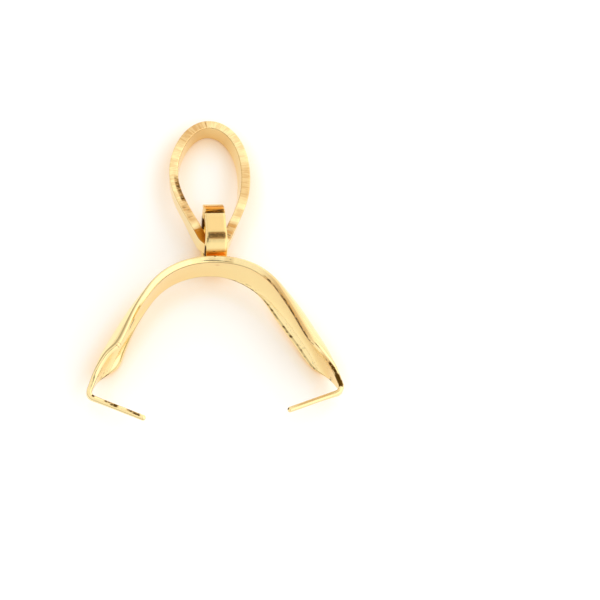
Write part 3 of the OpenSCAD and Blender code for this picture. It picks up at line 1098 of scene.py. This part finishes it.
class Kit:
    """The shader groups that several finishes use."""

    def __init__(self) -> None:
        """Builds each group once."""
        self.grain = self.plate_grain()
        self.shear = self.sheared_edge()
        self.stain_and_shade = self.stains()

    @staticmethod
    def plate_grain() -> bpy.types.NodeTree:
        """Slow waves and fine lines of a rolled and polished sheet.

        Returns:
            The group, which puts out a height and a roughness share.
        """
        inputs = {
            "Place": (VECTOR, None),
            "Wave Size": (FLOAT, 1.2),
            "Line Pitch": (FLOAT, 0.03),
            "Line Length": (FLOAT, 0.6),
            "Line Share": (FLOAT, 0.3),
        }
        outputs = dict.fromkeys(("Height", "Roughness"), FLOAT)
        g, given, result = new_group("PlateGrain", "ShaderNodeTree", inputs, outputs)
        wave = g.noise(given["Place"], g.math("DIVIDE", 1.0, given["Wave Size"]), 1.0)
        along = g.math("DIVIDE", 1.0, given["Line Length"])
        pitch = g.math("DIVIDE", 1.0, given["Line Pitch"])
        lines = g.noise(g.stretched(given["Place"], along, pitch, pitch), 1.0, 2.0)
        fine = g.math("MULTIPLY", g.math("SUBTRACT", lines, 0.5), given["Line Share"])
        g.feed(result["Height"], g.math("ADD", wave, fine))
        g.feed(result["Roughness"], g.math("ADD", 1.0, fine))
        return g.tree

    @staticmethod
    def sheared_edge() -> bpy.types.NodeTree:
        """Lines across a sheared edge.

        Returns:
            The group, which puts out a mask of the edge face, a height and a tone.
        """
        inputs = {
            "Place": (VECTOR, None),
            "Edge": (FLOAT, 0.0),
            "Pitch": (FLOAT, 0.08),
            "Strength": (FLOAT, 1.0),
        }
        outputs = dict.fromkeys(("Mask", "Height", "Tone"), FLOAT)
        g, given, result = new_group("ShearedEdge", "ShaderNodeTree", inputs, outputs)
        mask = g.rise(g.math("ABSOLUTE", given["Edge"]), 0.55, 0.95)
        per = g.math("DIVIDE", 1.0, given["Pitch"])
        # Fine lines that lean little, in groups some five lines wide
        lines = g.noise(g.stretched(given["Place"], per, 0.6, g.product(per, 0.16)), 1.0, 2.0, 0.6)
        groups = g.noise(g.stretched(given["Place"], g.product(per, 0.22), 0.0, 0.8), 1.0, 1.0)
        tone = g.rise(g.math("MULTIPLY_ADD", g.math("SUBTRACT", groups, 0.5), 0.7, lines), 0.38, 0.62)
        strong = g.product(mask, given["Strength"])
        g.feed(result["Mask"], mask)
        g.feed(result["Height"], g.product(lines, strong))
        g.feed(result["Tone"], g.product(g.math("SUBTRACT", 1.0, tone), strong))
        return g.tree

    @staticmethod
    def stains() -> bpy.types.NodeTree:
        """Breaks up the rim of painted marks, which are stains and also painted shade.

        Returns:
            The group, which puts out a mask and a height that sinks in the marks.
        """
        inputs = {
            "Place": (VECTOR, None),
            "Dark": (FLOAT, 0.0),
            "Per Length": (FLOAT, 13.0),
            "Per Breadth": (FLOAT, 3.0),
        }
        outputs = dict.fromkeys(("Mask", "Height"), FLOAT)
        g, given, result = new_group("Stains", "ShaderNodeTree", inputs, outputs)
        grain = g.stretched(given["Place"], given["Per Length"], given["Per Breadth"], given["Per Breadth"])
        rough = g.math("SUBTRACT", g.noise(grain, 1.0, 3.0, 0.6), 0.5)
        broken = g.math("MULTIPLY_ADD", rough, 1.6, given["Dark"])
        mask = g.product(g.rise(broken, 0.3, 0.75), g.rise(given["Dark"], 0.1, 0.35))
        g.feed(result["Mask"], mask)
        g.feed(result["Height"], g.math("SUBTRACT", 1.0, mask))
        return g.tree


@dataclass(frozen=True)
class GoldFinish:
    """Polished gold plate, with sheared edges, stains, and painted shade and reflections.

    Gold is the plate's colour, tan that of thin or heated plate and of painted reflection tones, rim that of a
    painted dark reflection along a rounded rim, and stain that of the dark marks, stains and painted shade.
    Heights are the bumps' distances in millimetres.
    """

    name: str
    gold: tuple[float, float, float] = (0.97, 0.785, 0.405)
    tan: tuple[float, float, float] = (0.68, 0.43, 0.17)
    rim: tuple[float, float, float] = (0.55, 0.40, 0.18)
    stain_and_shade: tuple[float, float, float] = (0.10, 0.045, 0.005)
    roughness: float = 0.14
    edge_roughness: float = 0.3
    wave_size: float = 1.2
    line_pitch: float = 0.03
    line_length: float = 0.6
    line_share: float = 0.25
    line_height: float = 0.004
    shear_pitch: float = 0.08
    shear_strength: float = 1.0
    shear_height: float = 0.006
    tone_share: float = 0.45
    stain_and_shade_height: float = 0.015
    stain_and_shade_grain: tuple[float, float] = (13.0, 3.0)
    stain_and_shade_rough: float = 0.25
    tan_lines: float = 0.6
    rim_share: float = 0.6
    outer_rim: tuple[float, float] = (1.0, 1.0)
    lower_rim: float = 1.0

    def build(self, kit: Kit) -> bpy.types.Material:
        """Makes the material.

        Args:
            kit: The shared shader groups.

        Returns:
            The new material.
        """
        material = bpy.data.materials.new(self.name)
        material.use_nodes = True
        g = Graph(material.node_tree)
        place, edge = g.attribute(PLACE, "Vector"), g.attribute(EDGE, "Fac")
        grain = g.group(kit.grain, {
            "Place": place, "Wave Size": self.wave_size, "Line Pitch": self.line_pitch,
            "Line Length": self.line_length, "Line Share": self.line_share,
        })
        shear = g.group(kit.shear, {
            "Place": place, "Edge": edge, "Pitch": self.shear_pitch, "Strength": self.shear_strength,
        })
        stain_and_shade = g.group(kit.stain_and_shade, {
            "Place": place, "Dark": g.attribute(DARK, "Fac"),
            "Per Length": self.stain_and_shade_grain[0], "Per Breadth": self.stain_and_shade_grain[1],
        })
        colour = g.mix(self.painted_rim_reflection(g, place, edge), (*self.gold, 1.0), (*self.rim, 1.0))
        lined = g.math("MULTIPLY", g.attribute(TAN, "Fac"), g.math("MULTIPLY_ADD", shear["Tone"], self.tan_lines, 1.0))
        warm = g.math("MAXIMUM", lined, g.math("MULTIPLY", shear["Tone"], self.tone_share))
        colour = g.mix(g.math("MINIMUM", warm, 1.0), colour, (*self.tan, 1.0))
        colour = g.mix(stain_and_shade["Mask"], colour, (*self.stain_and_shade, 1.0))
        rough = g.math("MULTIPLY", grain["Roughness"], self.roughness)
        rough = g.rise(shear["Mask"], 0.0, 1.0, rough, self.edge_roughness)
        rough = g.math("MULTIPLY_ADD", stain_and_shade["Mask"], self.stain_and_shade_rough, rough)
        bump: dict[str, Any] = {}
        for group, size in ((grain, self.line_height), (shear, self.shear_height), (stain_and_shade, self.stain_and_shade_height)):
            inputs = {"Height": group["Height"], "Distance": size * MM, "Strength": 1.0, **bump}
            bump = {"Normal": g.add("ShaderNodeBump", inputs).outputs["Normal"]}
        shader = g.add("ShaderNodeBsdfPrincipled", {
            "Base Color": colour, "Metallic": 1.0, "Roughness": rough, **bump,
        })
        g.add("ShaderNodeOutputMaterial", {"Surface": shader.outputs[0]})
        return material

    def painted_rim_reflection(self, g: Graph, place: bpy.types.NodeSocket, edge: bpy.types.NodeSocket) -> bpy.types.NodeSocket:
        """The painted dark reflection along each rounded rim.

        Args:
            g: The material's graph.
            place: The points' places on the strip.
            edge: Their edge values.

        Returns:
            The line's share of the colour.
        """
        turned = g.math("ABSOLUTE", edge)
        along, _, depth = g.parts(place)
        return g.product(
            g.rise(turned, 0.02, 0.15),
            g.rise(turned, 0.4, 0.75, 1.0, 0.0),
            g.rise(depth, -0.02, 0.02, 1.0, g.rise(along, 1.0, 4.0, *self.outer_rim)),
            g.rise(edge, -0.01, 0.01, self.lower_rim, 1.0),
            self.rim_share,
        )


@dataclass
class Clasp:
    """The arch strip with its prongs, the ring on its top and the solder between them."""

    hinge: Vector
    bands: BandTree
    kit: Kit
    strip: ArchStrip = field(default_factory=ArchStrip)
    ring: RingBand = field(default_factory=RingBand)
    run: SolderRun = field(default_factory=SolderRun)

    def build(self) -> list[bpy.types.Object]:
        """Makes the clasp's pieces, tipped so that it rests on the ring and both legs.

        Returns:
            The strip, the ring and the solder.
        """
        points, places, edges = self.strip.rings()
        tilt = table_tilt(points.reshape(-1, 3), self.ring.bore_r + self.ring.thickness)
        log.info("clasp tilt %.3f degrees", math.degrees(tilt))
        turn = Matrix.Translation(self.hinge) @ Matrix.Rotation(tilt, 4, "X")
        made = [self.arch(points, places, edges), self.band(), self.solder()]
        for piece in made:
            piece.data.transform(turn)
        return made

    def arch(self, points: np.ndarray, places: np.ndarray, edges: np.ndarray) -> bpy.types.Object:
        """Makes the strip itself.

        Args:
            points: Its rings of points in millimetres.
            places: Their places on the strip.
            edges: Their edge values.

        Returns:
            The strip's object.
        """
        mesh = grid_mesh("arch_strip", points * MM, {PLACE: places, EDGE: edges})
        paint(mesh, self.strip.patches)
        # The dark rim colour paints the dark reflection along the strip's rounded rims
        finish = GoldFinish(
            "gold_arch", roughness=0.2, edge_roughness=0.15, shear_strength=0.12, stain_and_shade_grain=(5.0, 10.0),
            rim=(0.24, 0.15, 0.04), rim_share=0.85, outer_rim=(0.75, 0.3), lower_rim=0.55,
        )
        return add_object("arch_strip", mesh, finish.build(self.kit))

    def band(self) -> bpy.types.Object:
        """Makes the ring's band, round the X axis.

        Returns:
            The ring's object.
        """
        # On the ring the tan and dark marks are painted reflections
        finish = GoldFinish(
            "gold_ring", gold=(0.95, 0.74, 0.34), tan=(0.80, 0.31, 0.015), stain_and_shade=(0.08, 0.03, 0.004), roughness=0.17,
            stain_and_shade_height=0.003, line_share=0.5, line_pitch=0.025, line_height=0.003, shear_strength=0.3, rim_share=0.3,
        )
        material = finish.build(self.kit)
        ring = self.ring
        mesh = self.bands.sweep("ring_band", ring.path(), False, {
            "Width": ring.widening * ring.width * MM, "Thickness": ring.thickness * MM, "Corner": ring.corner * MM,
            "Step": ring.path_step * MM, "End Size": ring.end_size, "Closed Ends": True,
            "Shear Depth": ring.shear_depth * MM, "Finish": material,
        })
        mesh.transform(Matrix(((0, 0, 1, 0), (1, 0, 0, 0), (0, 1, 0, 0), (0, 0, 0, 1))))
        self.spread(mesh)
        paint(mesh, ring.patches)
        return add_object("ring_band", mesh, material)

    def spread(self, mesh: bpy.types.Mesh) -> None:
        """Widens the ring a little at its foot, where it was pressed on the strip, and narrows it behind.

        Args:
            mesh: The ring's mesh, about the ring's axis.
        """
        ring, points = self.ring, mesh_points(mesh)
        forward = -points[:, 1] / ring.bore_r
        points[:, 0] *= 1 + ring.spread * smooth(0.0, 1.0, forward)
        behind = ring.drawn_in * smooth(0.0, 0.9, -forward) * (points[:, 2] < ring.drawn_below)
        points[:, 0] -= behind * np.minimum(points[:, 0], 0.0)
        mesh.vertices.foreach_set("co", (points * MM).ravel())

    def solder(self) -> bpy.types.Object:
        """Makes the solder between the ring and the strip.

        Returns:
            The solder's object.
        """
        rings = self.run.rings(self.strip, self.ring)
        places = np.stack([rings[..., 0], rings[..., 2], np.zeros(rings.shape[:2])], axis=-1)
        mesh = grid_mesh("solder_fillet", rings * MM, {PLACE: places, EDGE: np.zeros(rings.shape[:2])})
        paint(mesh, ())
        finish = GoldFinish("gold_solder", roughness=0.26, wave_size=0.25, line_share=0.1, shear_strength=0.0)
        return add_object("solder_fillet", mesh, finish.build(self.kit))


@dataclass
class Teardrop:
    """The loop for the chain, hung in the ring and lying on the table."""

    hinge: Vector
    bands: BandTree
    kit: Kit
    loop: ChainLoop = field(default_factory=ChainLoop)

    def build(self) -> list[bpy.types.Object]:
        """Makes the loop's one piece.

        Returns:
            A list with the loop's object.
        """
        loop = self.loop
        # On the loop the tan and dark marks are painted reflection tones and painted shade
        finish = GoldFinish(
            "gold_loop", tan=(0.5, 0.19, 0.015), rim=(0.42, 0.28, 0.09), rim_share=0.85, tone_share=0.27
        )
        material = finish.build(self.kit)
        mesh = self.bands.sweep("teardrop", loop.path(), True, {
            "Width": loop.strip * MM, "Thickness": (loop.thickness + loop.plate) * MM, "Corner": loop.corner * MM,
            "Step": loop.path_step * MM, "Shear Depth": loop.shear_depth * MM, "Shear Pitch": loop.shear_pitch * MM,
            "Finish": material,
        })
        paint(mesh, loop.patches)
        points = loop.flared(mesh_points(mesh), read(mesh, PLACE)[:, 0])
        mesh.vertices.foreach_set("co", (points * MM).ravel())
        swayed = Matrix.Rotation(math.radians(-loop.sway), 4, "Z")
        mesh.transform(Matrix.Rotation(math.radians(loop.roll), 4, "Y") @ swayed)
        tilt = table_tilt(mesh_points(mesh), self.hinge.z / MM)
        log.info("loop tilt %.3f degrees", math.degrees(tilt))
        mesh.transform(Matrix.Translation(self.hinge) @ Matrix.Rotation(-tilt, 4, "X"))
        return [add_object("teardrop", mesh, material)]


@dataclass(frozen=True)
class DarkZone:
    """A dark patch of the room, by the middle and the half size of the directions that it covers."""

    x: float
    y: float
    half_x: float
    half_y: float
    share: float = 0.98


@dataclass
class Studio:
    """The table, the light and the camera."""

    hinge: Vector
    azimuth: float = -18.0
    elevation: float = 64.5
    roll: float = 15.25
    distance: float = 250.0
    pixels_per_mm: float = 18.3
    frame_pixels: int = 600
    hinge_pixel: tuple[float, float] = (213.2, 235.6)
    sensor: float = 36.0
    table_half: float = 0.6
    table_tones: tuple[tuple[float, ...], ...] = ((0.85, 0.845, 0.84, 1.0), (0.87, 0.865, 0.86, 1.0))
    far_tone: tuple[float, ...] = (0.7, 0.69, 0.68, 1.0)
    own_light: tuple[float, ...] = (1.0, 0.99, 0.98, 1.0)
    own_strength: float = 0.19
    glow: tuple[float, ...] = (1.0, 0.77, 0.52, 1.0)
    glow_reach: float = 1.8
    room_tone: tuple[float, ...] = (1.0, 0.985, 0.965, 1.0)
    left_light: float = 1.03
    right_light: float = 1.5
    horizon: float = 0.82
    dark_zones: tuple[DarkZone, ...] = (DarkZone(0.14, -0.38, 0.12, 0.18), DarkZone(-0.07, -0.66, 0.13, 0.12))

    def axes(self) -> tuple[Vector, Vector, Vector]:
        """The camera's right, up and backward directions.

        Returns:
            The three directions, each of length 1.
        """
        a, e, turn = (math.radians(v) for v in (self.azimuth, self.elevation, self.roll))
        right = Vector((math.cos(a), math.sin(a), 0.0))
        up = Vector((-math.sin(e) * math.sin(a), math.sin(e) * math.cos(a), math.cos(e)))
        back = Vector((math.sin(a) * math.cos(e), -math.cos(a) * math.cos(e), math.sin(e)))
        c, s = math.cos(turn), math.sin(turn)
        return right * c + up * s, up * c - right * s, back

    def build(self) -> None:
        """Makes the whole studio."""
        self.camera()
        self.table()
        self.light()

    def camera(self) -> None:
        """Sets the camera in the photograph's direction, with the ring's axis at its pixel."""
        right, up, back = self.axes()
        half = self.frame_pixels / 2
        aside = (half - self.hinge_pixel[0]) / self.pixels_per_mm
        above = (self.hinge_pixel[1] - half) / self.pixels_per_mm
        target = self.hinge + (right * aside + up * above) * MM
        camera = bpy.data.cameras.new("camera")
        camera.sensor_width = self.sensor
        camera.lens = self.pixels_per_mm * self.distance / self.frame_pixels * self.sensor
        camera.clip_start, camera.clip_end = 0.01, 10.0
        seat = bpy.data.objects.new("camera", camera)
        basis = Matrix((right, up, back)).transposed().to_4x4()
        seat.matrix_world = Matrix.Translation(target + back * self.distance * MM) @ basis
        bpy.context.scene.collection.objects.link(seat)
        bpy.context.scene.camera = seat

    def table(self) -> None:
        """Makes the pale table top, with the warm glow that the metal throws on it."""
        half = self.table_half
        mesh = bpy.data.meshes.new("table_top")
        corners = [(-half, -half, 0.0), (half, -half, 0.0), (half, half, 0.0), (-half, half, 0.0)]
        mesh.from_pydata(corners, [], [(0, 1, 2, 3)])
        material = bpy.data.materials.new("pale_table")
        material.use_nodes = True
        g = Graph(material.node_tree)
        place = g.add("ShaderNodeTexCoord").outputs["Object"]
        far = g.add("ShaderNodeVectorMath", {0: place}, operation="LENGTH").outputs["Value"]
        # From 3 to 12 cm out the table fades to the darker far tone, painted shade beyond the lit middle
        cloud = g.mix(g.rise(far, 0.03, 0.12), g.mix(g.noise(place, 30.0, 3.0), *self.table_tones), self.far_tone)
        open_sky = g.add("ShaderNodeAmbientOcclusion", {"Distance": self.glow_reach * MM}, samples=8).outputs["AO"]
        glow = g.mix(g.rise(open_sky, 0.35, 0.98), self.glow, WHITE)
        shader = g.add("ShaderNodeBsdfPrincipled", {
            "Base Color": g.mix(1.0, cloud, glow, "MULTIPLY"), "Roughness": 0.7,
            "Emission Color": g.mix(1.0, self.own_light, glow, "MULTIPLY"), "Emission Strength": self.own_strength,
        })
        g.add("ShaderNodeOutputMaterial", {"Surface": shader.outputs[0]})
        add_object("table_top", mesh, material)

    def light(self) -> None:
        """Makes a white room, brighter on the right, with a dimmer horizon and dark zones for the gold to mirror."""
        scene = bpy.context.scene
        scene.world = bpy.data.worlds.new("studio")
        scene.world.use_nodes = True
        g = Graph(scene.world.node_tree)
        east, north, height = g.parts(g.add("ShaderNodeTexCoord").outputs["Generated"])
        sides = g.rise(g.rise(east, 0.12, 0.30), 0.0, 1.0, self.left_light, self.right_light)
        level = g.product(sides, g.rise(height, 0.02, 0.3, self.horizon, 1.0))
        for zone in self.dark_zones:
            shade = g.product(g.near(east, zone.x, zone.half_x), g.near(north, zone.y, zone.half_y))
            level = g.product(level, g.math("MULTIPLY_ADD", shade, -zone.share, 1.0))
        background = g.add("ShaderNodeBackground", {"Color": self.room_tone, "Strength": level})
        g.add("ShaderNodeOutputWorld", {"Surface": background.outputs[0]})
        scene.view_settings.view_transform = "Standard"
        scene.view_settings.look = "None"


def main() -> None:
    logging.basicConfig(level=logging.INFO, format="%(name)s: %(message)s")
    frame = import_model()
    hinge = Vector(frame["joints"][0]["pos_m"])
    Studio(hinge).build()
    bands, kit = BandTree(), Kit()
    for body, node, slot, pieces in (
        (Body.CLASP, "pinch_clasp", "clasp_plate", Clasp(hinge, bands, kit).build()),
        (Body.LOOP, "chain_loop", "loop_plate", Teardrop(hinge, bands, kit).build()),
    ):
        for piece in pieces:
            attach(piece, body.value)
            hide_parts(node)
            log.info("%s rides on %s and replaces %s", piece.name, body.value, node)


if __name__ == "__main__":
    main()
